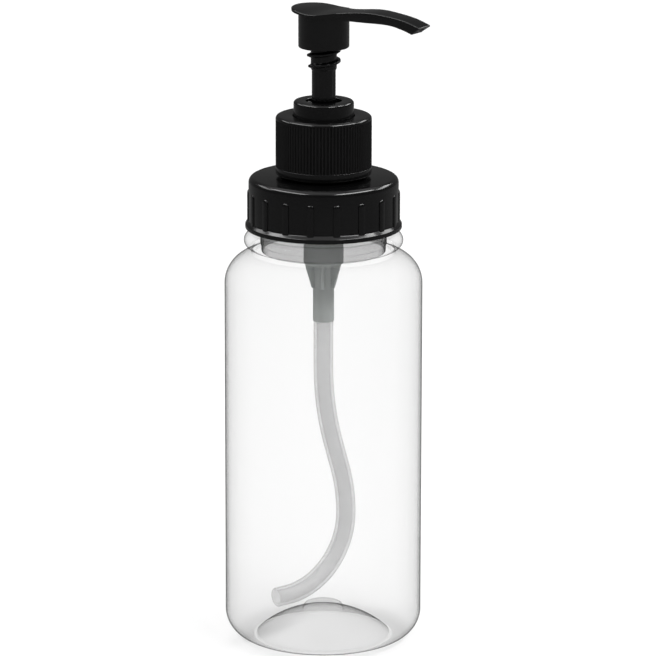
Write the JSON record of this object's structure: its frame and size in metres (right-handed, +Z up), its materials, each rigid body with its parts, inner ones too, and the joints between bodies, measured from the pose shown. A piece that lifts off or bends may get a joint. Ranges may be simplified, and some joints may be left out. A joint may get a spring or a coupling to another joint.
{
  "type": "condiment pump dispenser",
  "caption": "Clear round bottle with a wide black screw lid and a screw-on lotion-type pump; pressing the long curved spout head draws sauce up a dip tube.",
  "frame": {"origin": "centre of the bottle's foot ring, on the surface it stands on", "axes": "+Z up the bottle's axis; +X the way the spout points at rest"},
  "size_m": [0.0714, 0.065, 0.2128],
  "materials": {
    "clear_bottle": "clear, glossy blow-moulded plastic",
    "black_gloss": "black injection-moulded plastic, semi-gloss",
    "milky_insert": "translucent soft plastic",
    "natural_plastic": "uncoloured translucent plastic",
    "tube_plastic": "translucent extruded tubing",
    "spring_steel": "drawn stainless wire",
    "ball_steel": "polished stainless ball",
    "gasket_foam": "soft closed-cell foam"
  },
  "bodies": {
    "bottle": {"bottle": "clear_bottle"},
    "insert": {"lid_insert": "milky_insert"},
    "lid": {"lid": "black_gloss"},
    "pump": {"pump_housing": "natural_plastic", "neck_gasket": "gasket_foam", "lock_collar": "black_gloss", "ball_cage": "natural_plastic", "return_spring": "spring_steel", "dip_tube": "tube_plastic"},
    "closure": {"closure": "black_gloss"},
    "ball": {"check_ball": "ball_steel"},
    "rod": {"piston_rod": "natural_plastic"},
    "piston": {"piston": "natural_plastic"},
    "head": {"pump_head": "black_gloss", "stem": "black_gloss"}
  },
  "joints": [
    {"name": "lid_lift", "type": "slide", "parent": "bottle", "child": "insert", "axis": [0, 0, 1], "range_m": [0, 0.00634]},
    {"name": "lid_turn", "type": "hinge", "parent": "insert", "child": "lid", "pos_m": [0, 0, 0.15], "axis": [0, 0, 1], "range_deg": [0, 540]},
    {"name": "pump_lift", "type": "slide", "parent": "lid", "child": "pump", "axis": [0, 0, 1], "range_m": [0, 0.00634]},
    {"name": "closure_turn", "type": "hinge", "parent": "pump", "child": "closure", "pos_m": [0, 0, 0.165], "axis": [0, 0, 1], "range_deg": [0, 540]},
    {"name": "head_press", "type": "slide", "parent": "pump", "child": "rod", "axis": [0, 0, -1], "range_m": [0, 0.011], "stiffness_N_per_m": 450, "springref_m": -0.006, "deforming": ["return_spring"]},
    {"name": "head_swivel", "type": "hinge", "parent": "rod", "child": "head", "pos_m": [0, 0, 0.18], "axis": [0, 0, 1], "continuous": true},
    {"name": "piston_shift", "type": "slide", "parent": "rod", "child": "piston", "axis": [0, 0, 1], "range_m": [0, 0.0009]},
    {"name": "ball_rise", "type": "slide", "parent": "pump", "child": "ball", "axis": [0, 0, 1], "range_m": [0, 0.0015]}
  ],
  "couplings": [
    {"joint": "lid_turn", "follows": "lid_lift", "rad_per_m": 1485.4},
    {"joint": "closure_turn", "follows": "pump_lift", "rad_per_m": 1485.4}
  ]
}
